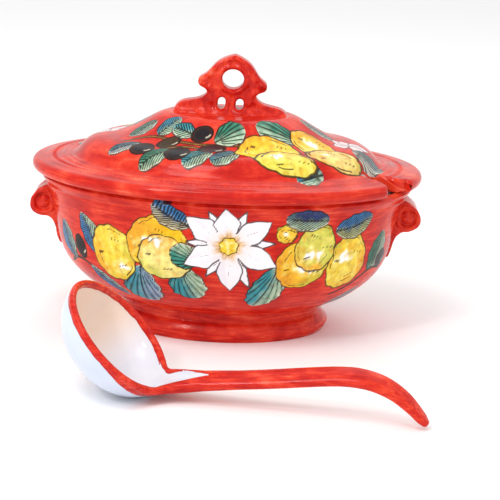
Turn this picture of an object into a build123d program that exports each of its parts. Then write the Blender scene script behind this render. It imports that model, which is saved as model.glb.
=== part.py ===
"""Oval majolica soup tureen: footed bowl with scroll handles, notched lid with a pierced knob, and its ladle.

Millimetres, +Z up. The origin is the centre of the foot's resting face, on the table.
+X is the tureen's long axis, -Y is its painted front.
"""

import os
from math import cos, radians, sin

from build123d import *

# ---- driving dimensions ----
PLAN_RATIO = 0.73            # every oval is this much narrower across Y than it is long in X

FOOT_BASE = 92.7             # half-lengths of the foot ring, from the table up to the bowl
FOOT_BULGE = 93.5
FOOT_WAIST = 87.0
FOOT_HEIGHT = 24.0
FOOT_WALL = 8.0

BOWL_RIM = 161.6             # half-length at the rim
BOWL_HEIGHT = 135.0          # height of the rim's top above the table
BOWL_WALL = 6.0

LID_LIP = 171.0              # half-length at the widest part of the lid's lip
LID_SEAT = 135.3             # underside of the lip, just clear of the bowl's rim
LID_RECESS = 138.0           # underside of the brim, where the locating rim is luted
LID_TOP = 190.0              # flat crown that carries the knob
LID_CROWN = 54.0             # half-length of that flat crown

LOCATING_OUTER = 150.5       # half-lengths of the locating rim, which drops inside the bowl
LOCATING_INNER = 141.0
LOCATING_FOOT = 127.0

NOTCH_BEARING = -30.0        # degrees, the way the ladle notch opens in plan
NOTCH_APEX = (121.0, -46.5)  # centre of the notch's rounded inner end
NOTCH_APEX_RADIUS = 6.5
NOTCH_MOUTH_RADIUS = 14.0
NOTCH_LENGTH = 40.0

KNOB_HEIGHT = 51.0
KNOB_THICKNESS = 15.0
KNOB_HOLE = (9.4, 8.6)       # half-axes of the big oval piercing
KNOB_HOLE_HEIGHT = 30.0      # heights of the piercings' centres above the crown
WINDOW_HEIGHT = 8.6
WINDOW_OFFSET = 7.9          # the two small windows stand this far from the middle
WINDOW_SIZE = (10.0, 6.6)    # height and width of each

HANDLE_WIDTH = 34.0
HANDLE_TAIL_WIDTH = 20.0

LADLE_CENTRE = (-75.4, -201.7)   # centre of the ladle's opening, in plan
LADLE_BEARING = -12.9            # degrees, the way the handle points
LADLE_TILT = 46.4                # degrees, how far the opening leans towards the handle
LADLE_RADIUS = 52.5
LADLE_DEPTH = 39.0
LADLE_WALL = 4.5
TABLE_CLEARANCE = 0.05           # keeps the curved pieces of the ladle just above the table


def oval(half_length):
    """Ellipse of the tureen's plan proportion."""
    return Ellipse(half_length, half_length * PLAN_RATIO)


# ---- foot ring: a flared oval band, hollow underneath ----
with BuildPart() as foot_ring:
    for height, half_length in (
        (0, FOOT_BASE),
        (5, FOOT_BULGE),
        (15, FOOT_BULGE - 2.5),
        (FOOT_HEIGHT, FOOT_WAIST),
    ):
        with BuildSketch(Plane.XY.offset(height)):
            oval(half_length)
    loft()
    for height, half_length in (
        (0, FOOT_BASE - FOOT_WALL),
        (FOOT_HEIGHT, FOOT_WAIST - FOOT_WALL),
    ):
        with BuildSketch(Plane.XY.offset(height)):
            oval(half_length)
    loft(mode=Mode.SUBTRACT)
foot_ring.part.label = "foot_ring"

# ---- bowl: a turned profile squeezed to the oval plan ----
with BuildPart() as bowl_form:
    with BuildSketch(Plane.XZ):
        with BuildLine():
            belly = Spline(
                (FOOT_WAIST, FOOT_HEIGHT),
                (104, 30),
                (121, 40.5),
                (136, 55),
                (144.5, 70),
                (149.5, 90),
                (154.5, 110),
                (BOWL_RIM, BOWL_HEIGHT - BOWL_WALL / 2),
            )
            lip = ThreePointArc(
                belly @ 1,
                (BOWL_RIM - BOWL_WALL / 2, BOWL_HEIGHT),
                (BOWL_RIM - BOWL_WALL, BOWL_HEIGHT - BOWL_WALL / 2),
            )
            Polyline(lip @ 1, (0, BOWL_HEIGHT - BOWL_WALL / 2), (0, FOOT_HEIGHT), belly @ 0)
        make_face()
    revolve(axis=Axis.Z)
    scale(by=(1, PLAN_RATIO, 1))

with BuildPart() as bowl_hollow:
    with BuildSketch(Plane.XZ):
        with BuildLine():
            inner_wall = Spline(
                (84, FOOT_HEIGHT + BOWL_WALL),
                (101, 35.5),
                (116.5, 45.5),
                (130.5, 59),
                (138.3, 72),
                (143.4, 91),
                (148.5, 111),
                (BOWL_RIM - BOWL_WALL, BOWL_HEIGHT - BOWL_WALL / 2),
            )
            Polyline(
                inner_wall @ 1,
                (BOWL_RIM - BOWL_WALL, BOWL_HEIGHT + BOWL_WALL),
                (0, BOWL_HEIGHT + BOWL_WALL),
                (0, FOOT_HEIGHT + BOWL_WALL),
                inner_wall @ 0,
            )
        make_face()
    revolve(axis=Axis.Z)
    scale(by=(1, PLAN_RATIO, 1))

with BuildPart() as bowl:
    add(bowl_form.part)
    add(bowl_hollow.part, mode=Mode.SUBTRACT)
bowl.part.label = "bowl"

# ---- handles: a scroll lug with a tapering tail, luted to each end of the bowl ----
with BuildPart() as right_handle:
    with BuildSketch(Plane.XZ):
        with BuildLine():
            scroll = Spline(
                (155, 122),
                (162, 119),
                (168.5, 112.5),
                (171.5, 105),
                (169.5, 98),
                (163, 94.5),
                (156, 93.5),
                (151.5, 89.5),
                (148.8, 82),
                (144, 68),
            )
            Polyline(scroll @ 1, (125, 68), (125, 122), scroll @ 0)
        make_face()
    extrude(amount=HANDLE_WIDTH / 2, both=True)
    with BuildSketch(Plane.YZ):
        with BuildLine():
            Polyline(
                (-HANDLE_WIDTH / 2, 125),
                (-HANDLE_WIDTH / 2, 94),
                (-HANDLE_TAIL_WIDTH / 2, 78),
                (-HANDLE_TAIL_WIDTH / 2, 65),
                (HANDLE_TAIL_WIDTH / 2, 65),
                (HANDLE_TAIL_WIDTH / 2, 78),
                (HANDLE_WIDTH / 2, 94),
                (HANDLE_WIDTH / 2, 125),
                close=True,
            )
        make_face()
    extrude(amount=200, mode=Mode.INTERSECT)
    add(bowl_form.part, mode=Mode.SUBTRACT)
right_handle.part.label = "right_handle"

with BuildPart() as left_handle:
    add(mirror(right_handle.part, about=Plane.YZ))
left_handle.part.label = "left_handle"

# ---- lid: brim, shoulder and low dome, open underneath, with a notch for the ladle ----
with BuildPart() as lid_shell:
    with BuildSketch(Plane.XZ):
        with BuildLine():
            dome = Spline(
                (LID_CROWN, LID_TOP),
                (70, 183),
                (86, 174),
                (100, 168.7),
                (112, 166.5),
                (120, 163.5),
                (128, 157.3),
                (135, 150.3),
                tangents=((1, -0.2), (1, -0.5)),
            )
            brim = Line(dome @ 1, (165, 146.6))
            lip = ThreePointArc(brim @ 1, (LID_LIP, 141), (166, LID_SEAT))
            seat = Polyline(lip @ 1, (153.5, LID_SEAT), (151.5, LID_RECESS), (134, LID_RECESS))
            inner_dome = Spline(
                seat @ 1,
                (127, 148),
                (117, 157),
                (103, 161.5),
                (86, 167),
                (68, 177.5),
                (LID_CROWN - 2, LID_TOP - 6),
                tangents=((-0.6, 1), (-1, 0.2)),
            )
            Polyline(inner_dome @ 1, (0, LID_TOP - 6), (0, LID_TOP), dome @ 0)
        make_face()
    revolve(axis=Axis.Z)
    scale(by=(1, PLAN_RATIO, 1))

# The notch is one prism, cut through the brim and the locating rim alike.
notch_plane = Plane(
    origin=(*NOTCH_APEX, LOCATING_FOOT - 5),
    x_dir=(cos(radians(NOTCH_BEARING)), sin(radians(NOTCH_BEARING)), 0),
    z_dir=(0, 0, 1),
)
with BuildPart() as notch:
    with BuildSketch(notch_plane):
        Circle(NOTCH_APEX_RADIUS)
        with Locations((NOTCH_LENGTH, 0)):
            Circle(NOTCH_MOUTH_RADIUS)
        make_hull()
    extrude(amount=LID_TOP - LOCATING_FOOT)

with BuildPart() as lid_notched:
    add(lid_shell.part)
    add(notch.part, mode=Mode.SUBTRACT)
lid_notched.part.label = "lid_shell"

with BuildPart() as lid_locating_rim:
    with BuildSketch(Plane.XY.offset(LOCATING_FOOT)):
        oval(LOCATING_OUTER)
        Ellipse(LOCATING_INNER, LOCATING_INNER * PLAN_RATIO, mode=Mode.SUBTRACT)
    extrude(amount=LID_RECESS - LOCATING_FOOT)
    add(notch.part, mode=Mode.SUBTRACT)
lid_locating_rim.part.label = "lid_locating_rim"

# ---- knob: a plate with an oval piercing, two windows and two ears, standing on spreading feet ----
with BuildPart() as lid_knob:
    with BuildSketch(Plane.XZ):
        with BuildLine():
            outline = Spline(
                (49.5, LID_TOP),
                (45, LID_TOP + 6),
                (35, LID_TOP + 9),
                (25.5, LID_TOP + 12),
                (21.5, LID_TOP + 17),
                (24.5, LID_TOP + 20),
                (28.5, LID_TOP + 21.8),
                (30, LID_TOP + 27),
                (25, LID_TOP + 31.5),
                (20.8, LID_TOP + 36),
                (15.5, LID_TOP + 42.8),
                (7, LID_TOP + 48.4),
                (0, LID_TOP + KNOB_HEIGHT),
            )
            Line(outline @ 1, (0, LID_TOP))
            Line((0, LID_TOP), outline @ 0)
        make_face()
        mirror(about=Plane.YZ)
        with Locations((0, LID_TOP + KNOB_HOLE_HEIGHT)):
            Ellipse(*KNOB_HOLE, mode=Mode.SUBTRACT)
        window_height = LID_TOP + WINDOW_HEIGHT
        with Locations((-WINDOW_OFFSET, window_height), (WINDOW_OFFSET, window_height)):
            SlotOverall(*WINDOW_SIZE, rotation=90, mode=Mode.SUBTRACT)
    extrude(amount=KNOB_THICKNESS / 2, both=True)
lid_knob.part.label = "lid_knob"

# ---- ladle: a half-ellipsoid cup leaning on the table, and a handle that bows up and down to its tip ----
bearing = radians(LADLE_BEARING)
tilt = radians(LADLE_TILT)
lean = (LADLE_RADIUS * sin(tilt), LADLE_DEPTH * cos(tilt))
ladle_rim_height = (lean[0] ** 2 + lean[1] ** 2) ** 0.5 + TABLE_CLEARANCE
along = (cos(bearing), sin(bearing), 0)
across = (sin(bearing), -cos(bearing), 0)
ladle_plane = Plane(origin=(*LADLE_CENTRE, 0), x_dir=along, z_dir=across)
cup_plane = Plane(
    origin=(*LADLE_CENTRE, ladle_rim_height),
    x_dir=(cos(tilt) * along[0], cos(tilt) * along[1], -sin(tilt)),
    z_dir=across,
)
cup_axis = Axis(cup_plane.origin, cup_plane.y_dir)

with BuildPart() as cup_form:
    with BuildSketch(cup_plane):
        with BuildLine():
            outside = EllipticalCenterArc((0, 0), LADLE_RADIUS, LADLE_DEPTH, start_angle=270, arc_size=90)
            Polyline(outside @ 1, (LADLE_RADIUS, 12), (0, 12), outside @ 0)
        make_face()
    revolve(axis=cup_axis)

with BuildPart() as ladle_bowl:
    with BuildSketch(cup_plane):
        with BuildLine():
            inner_radius = LADLE_RADIUS - LADLE_WALL
            inner_depth = LADLE_DEPTH - LADLE_WALL
            outside = EllipticalCenterArc((0, 0), LADLE_RADIUS, LADLE_DEPTH, start_angle=270, arc_size=90)
            inside = EllipticalCenterArc((0, 0), inner_radius, inner_depth, start_angle=270, arc_size=90)
            ThreePointArc(
                outside @ 1,
                (LADLE_RADIUS - LADLE_WALL / 2, LADLE_WALL / 2),
                inside @ 1,
            )
            Line(inside @ 0, outside @ 0)
        make_face()
    revolve(axis=cup_axis)
ladle_bowl.part.label = "ladle_bowl"

# Stations along the handle: distance and height in the ladle's own plane, slope and roll in degrees,
# width, thickness. The strap is rolled towards the front, and more so beyond its root.
HANDLE_STATIONS = (
    (29.5, 12.9, 8, 4, 51, 15),
    (41, 13.7, 6, 8, 37, 13),
    (53, 15.0, 8, 13, 26.5, 11),
    (67.5, 17.0, 10, 17, 21.5, 9.5),
    (98, 21.6, 10, 20, 19.5, 8.5),
    (133, 27.3, 9, 22, 19.5, 8.5),
    (163.5, 32.5, 6, 22, 19.5, 8.5),
    (187, 34.5, -3, 22, 19.5, 8.5),
    (209.5, 30.2, -22, 20, 18.5, 8.5),
    (227, 19.8, -42, 16, 16, 8),
    (239, 8.2, -54, 10, 12, 7),
    (243.5, 3.6, -58, 8, 7, 4.5),
)
with BuildPart() as ladle_handle:
    for distance, height, slope, roll, width, thickness in HANDLE_STATIONS:
        pitch = radians(slope)
        station = Plane(
            origin=ladle_plane.from_local_coords((distance, height, 0)),
            x_dir=across,
            z_dir=(cos(pitch) * along[0], cos(pitch) * along[1], sin(pitch)),
        )
        with BuildSketch(station.rotated((0, 0, roll))):
            RectangleRounded(width, thickness, 0.42 * thickness)
    loft()
    add(cup_form.part, mode=Mode.SUBTRACT)
ladle_handle.part.label = "ladle_handle"

# ---- one STEP file for each piece ----
os.makedirs("parts", exist_ok=True)
for piece in (
    foot_ring.part,
    bowl.part,
    right_handle.part,
    left_handle.part,
    lid_notched.part,
    lid_locating_rim.part,
    lid_knob.part,
    ladle_bowl.part,
    ladle_handle.part,
):
    export_step(piece, f"parts/{piece.label}.step")
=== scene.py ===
"""Looks of the majolica soup tureen: hand-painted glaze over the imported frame.

Lengths are millimetres in the frame's axes, unless a line says metres.
"""

from math import atan, cos, degrees, hypot, pi, radians, sin

import bmesh
import bpy
import numpy as np
from mathutils import Matrix, Vector


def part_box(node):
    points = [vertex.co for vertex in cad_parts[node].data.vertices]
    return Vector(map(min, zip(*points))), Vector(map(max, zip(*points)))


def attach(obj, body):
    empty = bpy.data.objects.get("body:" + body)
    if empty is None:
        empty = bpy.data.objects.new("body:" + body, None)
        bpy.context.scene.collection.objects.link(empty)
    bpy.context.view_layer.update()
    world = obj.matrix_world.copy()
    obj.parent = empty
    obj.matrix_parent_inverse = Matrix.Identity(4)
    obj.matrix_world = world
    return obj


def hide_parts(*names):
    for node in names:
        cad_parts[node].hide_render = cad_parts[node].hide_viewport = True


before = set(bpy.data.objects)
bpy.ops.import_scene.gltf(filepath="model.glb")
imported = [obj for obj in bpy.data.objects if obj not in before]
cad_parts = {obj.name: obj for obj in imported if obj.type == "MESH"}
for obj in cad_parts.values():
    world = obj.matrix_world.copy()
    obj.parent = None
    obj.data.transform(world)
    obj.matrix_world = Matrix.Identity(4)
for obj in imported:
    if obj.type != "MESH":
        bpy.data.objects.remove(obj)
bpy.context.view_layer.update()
rng = np.random.default_rng(7)

MM = 0.001                                          # one millimetre in metres
PLAN_RATIO = 0.73                                   # width of every oval over its length
FAR = 30.0                                          # well away from any painted edge or line


def box_mm(node):
    """Lowest and highest corner of a CAD node."""
    return [Vector(corner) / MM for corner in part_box(node)]


bowl_high, foot_high = box_mm("bowl")[1], box_mm("foot_ring")[1]
lid_low, lid_high = box_mm("lid_shell")
BOWL_RIM, BOWL_TOP, FOOT_TOP = bowl_high.x, bowl_high.z, foot_high.z
LID_LIP, LID_SEAT, LID_TOP = lid_high.x, lid_low.z, lid_high.z


# ---- curves and meshes ----
def travelled(points):
    """Distance along a polyline from its first point to each of its points."""
    return np.concatenate([[0], np.cumsum(np.linalg.norm(np.diff(points, axis=0), axis=1))])


def spline(points, spacing, first=None, last=None):
    """Smooth curve through given points, with an even spacing and optional end directions."""
    p = np.array(points, float)
    knots = travelled(p)
    n, h = len(p), np.diff(knots)
    matrix, right = np.zeros((n, n)), np.zeros(p.shape)
    for i in range(1, n - 1):
        matrix[i, i - 1 : i + 2] = 1 / h[i - 1], 2 / h[i - 1] + 2 / h[i], 1 / h[i]
        right[i] = 3 * ((p[i] - p[i - 1]) / h[i - 1] ** 2 + (p[i + 1] - p[i]) / h[i] ** 2)
    for row, neighbour, step, direction in ((0, 1, h[0], first), (-1, -2, h[-1], last)):
        if direction is None:
            matrix[row, row], matrix[row, neighbour] = 2, 1
            right[row] = 3 * (p[max(row, neighbour)] - p[min(row, neighbour)]) / step
        else:
            matrix[row, row] = 1
            right[row] = np.array(direction, float) / np.linalg.norm(direction)
    slopes = np.linalg.solve(matrix, right)
    wanted = np.linspace(0, knots[-1], max(2, round(knots[-1] / spacing) + 1))
    i = np.clip(np.searchsorted(knots, wanted) - 1, 0, n - 2)
    t = ((wanted - knots[i]) / h[i])[:, None]
    hi = h[i][:, None]
    a, b, c = 2 * t**3 - 3 * t**2 + 1, t**3 - 2 * t**2 + t, t**3 - t**2
    return a * p[i] + b * hi * slopes[i] + (1 - a) * p[i + 1] + c * hi * slopes[i + 1]


def arc(centre, radii, start, end, count):
    """Points of an elliptical arc, angles in degrees."""
    t = np.radians(np.linspace(start, end, count))
    return np.stack([centre[0] + radii[0] * np.cos(t), centre[1] + radii[1] * np.sin(t)], -1)


def joined(*runs):
    """One outline from several runs, without doubled points."""
    points = np.concatenate(runs)
    keep = np.concatenate([[True], np.linalg.norm(np.diff(points, axis=0), axis=1) > 1e-4])
    return points[keep]


def add_object(name, data):
    """Object in the scene that shows a mesh, light or camera."""
    placed = bpy.data.objects.new(name, data)
    bpy.context.scene.collection.objects.link(placed)
    return placed


def new_object(name, vertices, faces):
    """Mesh object from millimetre vertices, with smooth shading between its real edges."""
    mesh = bpy.data.meshes.new(name)
    mesh.from_pydata((np.asarray(vertices) * MM).tolist(), [], faces)
    mesh.update()
    piece = add_object(name, mesh)
    finish_normals(piece)
    return piece


def finish_normals(piece, smooth_angle=40):
    """Consistent outward normals and smooth shading with sharp real edges."""
    mesh = piece.data
    work = bmesh.new()
    work.from_mesh(mesh)
    bmesh.ops.recalc_face_normals(work, faces=work.faces)
    work.to_mesh(mesh)
    work.free()
    mesh.shade_smooth()
    mesh.set_sharp_from_angle(angle=radians(smooth_angle))


def grid_faces(rows, columns, close_rows=False):
    """Quads of a grid whose columns wrap round; its rows wrap too when close_rows is set."""
    faces = []
    for i in range(rows if close_rows else rows - 1):
        k = (i + 1) % rows
        for j in range(columns):
            m = (j + 1) % columns
            faces.append((i * columns + j, i * columns + m, k * columns + m, k * columns + j))
    return faces


def end_caps(rows, columns):
    """Faces that close the first and last row of a grid."""
    return [tuple(range(columns)), tuple(range((rows - 1) * columns, rows * columns))]


def turned(name, profile, columns, ring=False, relief=None):
    """Oval piece from a (radius, height) outline. A ring's outline closes on itself; any other gets caps."""
    turns = np.linspace(0, 2 * pi, columns, endpoint=False)
    radius, angle = np.meshgrid(profile[:, 0], turns, indexing="ij")
    height = np.meshgrid(profile[:, 1], turns, indexing="ij")[0]
    if relief is not None:
        out, up = relief(radius, height, angle)
        radius, height = radius + out, height + up
    vertices = np.stack([radius * np.cos(angle), PLAN_RATIO * radius * np.sin(angle), height], -1)
    caps = [] if ring else end_caps(len(profile), columns)
    return new_object(name, vertices.reshape(-1, 3), grid_faces(len(profile), columns, ring) + caps)


def vertex_values(piece, kind):
    """One vector per vertex, such as its normal."""
    values = np.empty(len(piece.data.vertices) * 3, np.float32)
    piece.data.vertices.foreach_get(kind, values)
    return values.reshape(-1, 3).astype(float)


def positions(piece):
    """Vertex positions in millimetres."""
    return vertex_values(piece, "co") / MM


def move_to(piece, points):
    """Puts the vertices at millimetre positions."""
    piece.data.vertices.foreach_set("co", (points * MM).astype(np.float32).ravel())
    piece.data.update()


def store(piece, name, values):
    """Keeps a per-vertex number, vector or colour for the shader."""
    values = np.asarray(values, np.float32)
    if values.ndim == 1:
        layer, key = piece.data.attributes.new(name, "FLOAT", "POINT"), "value"
    elif name == "paint":
        layer, key = piece.data.attributes.new(name, "FLOAT_COLOR", "POINT"), "color"
        values = np.concatenate([values, np.ones((len(values), 1), np.float32)], 1)
    else:
        layer, key = piece.data.attributes.new(name, "FLOAT_VECTOR", "POINT"), "vector"
    layer.data.foreach_set(key, values.ravel())


def apply_modifier(piece, kind, **settings):
    """Adds a modifier, sets it and bakes it into the mesh."""
    modifier = piece.modifiers.new(kind.lower(), kind)
    for key, value in settings.items():
        setattr(modifier, key, value)
    evaluated = piece.evaluated_get(bpy.context.evaluated_depsgraph_get())
    mesh = bpy.data.meshes.new_from_object(evaluated)
    piece.modifiers.remove(modifier)
    old = piece.data
    piece.data = mesh
    bpy.data.meshes.remove(old)


def oval_polar(p):
    """Angle round the oval at each point, and the half-length of the oval through it."""
    return np.arctan2(p[:, 1] / PLAN_RATIO, p[:, 0]), np.hypot(p[:, 0], p[:, 1] / PLAN_RATIO)


def smooth(value, low, high):
    """Smoothstep from 0 at low to 1 at high."""
    t = np.clip((value - low) / (high - low), 0, 1)
    return t * t * (3 - 2 * t)


def ridge(distance, middle, half_width):
    """Rounded rib of height 1 at a distance from something."""
    return np.exp(-(((distance - middle) / half_width) ** 2))


def mouldings(where, rows):
    """Raised and sunk bands together; each row is a rise, its middle and its half-width."""
    return sum(rise * ridge(where, middle, half_width) for rise, middle, half_width in rows)


WAVES = [(rng.normal(size=3), rng.uniform(0, 2 * pi)) for _ in range(24)]


def wander(points, scale):
    """Soft seeded noise of about -1 to 1 that changes over roughly the scale."""
    total = np.zeros(len(points))
    for direction, phase in WAVES:
        total += np.sin(points @ direction[: points.shape[1]] / scale * 2 + phase)
    return total / 5


# ---- painting: every motif adds its colour, its edge distance and its ink lines ----
class Canvas:
    """Painted surface: coordinates across and up, and the stretch that turns across into true length."""

    def __init__(self, across, up, stretch):
        self.across, self.up, self.stretch = across, up, stretch
        self.cover = np.full(len(across), -FAR)
        self.ink = np.full(len(across), FAR)
        self.paint = np.full((len(across), 3), 0.5)

    def local(self, centre, angle=0.0):
        """Coordinates about a motif's centre, turned so that x runs along it."""
        x = (self.across - centre[0]) * self.stretch
        y = self.up - centre[1]
        c, s = cos(radians(angle)), sin(radians(angle))
        return x * c + y * s, y * c - x * s

    def lay(self, edge, colour, lines=FAR):
        """edge is how far inside the motif's outline a point is, lines how far it is from the ink lines."""
        bleed = 1.6                                 # colour carried past the outline, for the shader to trim
        take = (edge > 0) | ((edge > -bleed) & (self.cover < 0) & (edge > self.cover))
        self.paint[take] = colour[take]
        outline = np.abs(edge)
        self.ink = np.where(edge > 0, np.minimum(outline, lines), np.minimum(self.ink, outline))
        self.cover = np.maximum(self.cover, edge)

    def store_on(self, piece, plain, lined):
        """Keeps the painting on a piece: none where plain is set, white glaze where lined is set."""
        store(piece, "paint", self.paint)
        store(piece, "cover", np.where(plain, -FAR, self.cover))
        store(piece, "ink", np.where(plain, FAR, self.ink))
        store(piece, "lined", lined.astype(float))


def blend(weight, first, second):
    """Mixes colours by a 0 to 1 weight per vertex; each is one colour or one per vertex."""
    w = np.clip(weight, 0, 1)[:, None]
    return (1 - w) * np.asarray(first, float) + w * np.asarray(second, float)


def along_from(start, end):
    """Length and direction in degrees from one point to another."""
    run, rise = end[0] - start[0], end[1] - start[1]
    return hypot(run, rise), degrees(np.arctan2(rise, run))


def edge_within(x, y, length, half, slant):
    """Distance inside an outline round the x axis with that half-width; beyond its ends it is negative."""
    beyond = np.maximum(np.maximum(-x, x - length), 0)
    return np.where(beyond > 0, -np.hypot(beyond, np.abs(y)), (half - np.abs(y)) * slant)


TEAL, BLUE, NAVY, STEEL = (0.020, 0.24, 0.28), (0.025, 0.17, 0.40), (0.015, 0.05, 0.20), (0.04, 0.20, 0.45)
SAGE, OLIVE_GREEN = (0.27, 0.52, 0.33), (0.30, 0.36, 0.06)
FOREST, GREY, DUSK = (0.02, 0.17, 0.10), (0.16, 0.20, 0.20), (0.03, 0.15, 0.22)
CREAM, OCHRE, BROWN, BLACK = (0.86, 0.80, 0.62), (0.55, 0.26, 0.05), (0.16, 0.05, 0.02), (0.012, 0.008, 0.010)
YELLOW, AMBER, LIME = (0.84, 0.60, 0.05), (0.83, 0.36, 0.02), (0.50, 0.52, 0.05)
STRAW, GOLD, GLINT = (0.93, 0.78, 0.18), (0.93, 0.80, 0.25), (0.97, 0.96, 0.90)
PETAL_WHITE, PETAL_SHADE, PETAL_HEART = (0.93, 0.92, 0.95), (0.70, 0.64, 0.78), (0.80, 0.70, 0.62)


def leaf(canvas, base, tip, width, dark, light, side=1, bend=0.0, broad=0.5, blunt=0.65, fan=False):
    """Brushed leaf from base to tip: one half dark, the other light, with fine veins and pale strokes.

    broad is where along it the leaf is widest, a lower blunt gives fuller ends, and fan spreads its veins.
    """
    sample = slice(None, None, 97)                  # every 97th point is enough to look up the stretch
    order = np.argsort(canvas.up[sample])
    stretch = np.interp((base[1] + tip[1]) / 2, canvas.up[sample][order], canvas.stretch[sample][order])
    length, direction = along_from((base[0] * stretch, base[1]), (tip[0] * stretch, tip[1]))
    x, y = canvas.local(base, direction)
    t = np.clip(x / length, 0, 1)
    y = y - bend * length * np.sin(pi * t)
    skew = np.log(0.5) / np.log(broad)
    scallops = 0.06 * np.sin(x * 0.9 + 2) * smooth(t, 0.45, 0.7) if fan else 0
    wave = 1 + 0.05 * np.sin(x * 0.55 + width) + scallops
    half = width / 2 * np.sin(pi * t**skew) ** blunt * wave
    edge = edge_within(x, y, length, half, 0.86)
    spine = np.abs(y) + smooth(t, 0.85, 0.97) * 2
    hairline = 0.12                                 # keeps every vein finer than an outline
    if fan:
        pitch, reach = 0.17, np.hypot(x + 2, y)     # pitch in radians
        q = np.arctan2(y, np.maximum(x + 2, 0.5)) / pitch
        ribs = np.abs((q + 0.5) % 1 - 0.5) * pitch * reach + smooth(reach, length * 0.30, length * 0.15) * 2
    else:
        pitch = 3.1
        q = (x - np.abs(y) * 1.25) / pitch
        ribs = np.abs((q + 0.5) % 1 - 0.5) * pitch * 0.62
    ribs = ribs + hairline + smooth(half - np.abs(y), 1.6, 0.3) * 1.5
    streak = 0.5 + 0.5 * np.cos(q * 2 * pi + np.sin(np.abs(y) * 0.9 + width) * 0.8)
    points = np.stack([x, y], -1)
    wash = smooth(0.5 + 0.5 * wander(points + width * 7, 6.0), 0.5, 1.1)
    dark, light = np.asarray(dark), np.asarray(light)
    deep = blend(0.75 * streak, dark * 1.25 + 0.02, dark * 0.35)
    deep = blend(0.35 * wash, deep, light * 0.8)
    bright = blend(0.80 * streak, light * 0.65 + np.asarray(CREAM) * 0.35, light * 0.55)
    bright = blend(0.45 * wash, bright, dark * 0.9 + 0.04)
    share = smooth(y * side + 2.5 * wander(points, 5.0), -width * 0.22, width * 0.22)
    rim = smooth(edge, 1.7, 0.5) * (y * side < width * 0.12)
    canvas.lay(edge, blend(0.75 * rim, blend(share, bright, deep), CREAM), np.minimum(spine, ribs))


def turn_from(theta, start):
    """Angle from start to theta, between -pi and pi."""
    return (theta - start + pi) % (2 * pi) - pi


def lemon(canvas, centre, radii, angle, warm_side, base, glow, seed, nub=None):
    """Knobbly lemon: amber on its warm side, lime opposite, a white glow, brush ticks and curved folds."""
    x, y = canvas.local(centre, angle)
    rho, theta = np.hypot(x / radii[0], y / radii[1]), np.arctan2(y / radii[1], x / radii[0])
    knobs = np.abs(np.sin(4.5 * theta + seed)) + 0.4 * np.abs(np.sin(7.5 * theta + 2 * seed))
    outline = 0.96 + 0.03 * np.sin(3 * theta + seed) + 0.055 * knobs
    if nub is not None:
        outline = outline + 0.22 * ridge(turn_from(theta, radians(nub)), 0, 0.22)
    size = min(radii)
    points = np.stack([x, y], -1)
    broad_wash, fine_wash = wander(points + seed * 50, 9.0), wander(points + seed * 31, 3.2)
    flank = rho * np.cos(theta - radians(warm_side)) + 0.25 * broad_wash
    shade = rho * np.cos(theta - radians(warm_side + 140)) + 0.25 * broad_wash
    spot = np.hypot((x / size - glow[0]) / 0.40, (y / size - glow[1]) / 0.24) + 0.45 * fine_wash
    colour = base
    for weight, tint in (
        (0.85 * smooth(flank, 0.05, 0.85), AMBER),
        (0.70 * smooth(shade, 0.30, 1.0), LIME),
        (0.45 * smooth(fine_wash, 0.25, 0.9), AMBER),
        (0.45 * smooth(-fine_wash, 0.35, 1.0), STRAW),
        (0.60 * smooth(spot, 1.7, 0.9), GOLD),
        (smooth(spot, 0.95, 0.60), GLINT),
    ):
        colour = blend(weight, colour, tint)
    # ticks in short parallel rows, and folds that follow the outline part of the way round
    lines = FAR
    for row in range(3):
        a = seed * 2.4 + row * 2.2
        lean = 0.9 + 0.3 * sin(a)
        for k in range(3):
            from_x = x - (0.55 + 0.05 * k) * radii[0] * cos(a) - 2.6 * (k - 1)
            from_y = y - (0.55 - 0.04 * k) * radii[1] * sin(a)
            u, v = from_x * cos(lean) + from_y * sin(lean), from_y * cos(lean) - from_x * sin(lean)
            lines = np.minimum(lines, np.hypot(np.maximum(np.abs(u) - 1.1, 0), v) + 0.12)
    for inset, start in ((0.84, seed), (0.70, seed + 2.1), (0.88, seed + 4.2)):
        turn = turn_from(theta, start)
        fold = np.abs(outline * inset - 0.05 * turn - rho) * size + 0.18 + smooth(np.abs(turn), 0.35, 0.6) * 4
        lines = np.minimum(lines, fold)
    canvas.lay((outline - rho) * size, colour, lines)


def olive(canvas, centre, radii, angle, colour=BLACK):
    """Dark olive with a thin cream catch of light low on its side."""
    x, y = canvas.local(centre, angle)
    u, v = x / radii[0], y / radii[1]
    rho, lit_u, lit_v = np.hypot(u, v), u - 0.25, v - 0.1
    catch = smooth(np.abs(np.hypot(lit_u, lit_v) - 0.62), 0.10, 0.03)
    catch *= smooth(np.abs(np.arctan2(lit_v, lit_u) + 1.1), 0.55, 0.35)
    body = blend(smooth(rho, 0.5, 1.0) * 0.35, colour, np.asarray(BROWN) * 0.6)
    canvas.lay((1 - rho) * min(radii), blend(0.75 * catch, body, CREAM))


def petal(canvas, heart, tip, width, tint=PETAL_WHITE):
    """Pointed white petal with faint lilac strokes along it and a short crease."""
    length, direction = along_from(heart, tip)
    x, y = canvas.local(heart, direction)
    t = np.clip(x / length, 0, 1)
    widest = 0.56
    half = np.where(t < widest, (t / widest) ** 0.62, 1 - (np.maximum(t - widest, 0) / (1 - widest)) ** 1.35)
    half = width / 2 * half * (1 + 0.05 * np.sin(x * 0.45 + width + tip[0]))
    stroke = wander(np.stack([x / 9, y], -1) + tip[0], 2.4)
    colour = blend(0.28 * smooth(stroke, 0.2, 1.0), tint, PETAL_SHADE)
    colour = blend(0.30 * smooth(t, 0.55, 0.25), colour, PETAL_HEART)
    crease = np.abs(y - 1.4 * np.sin(x * 0.15)) + 0.36 + smooth(np.abs(t - 0.52), 0.12, 0.2) * 3
    canvas.lay(edge_within(x, y, length, half, 0.85), colour, crease)


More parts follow.
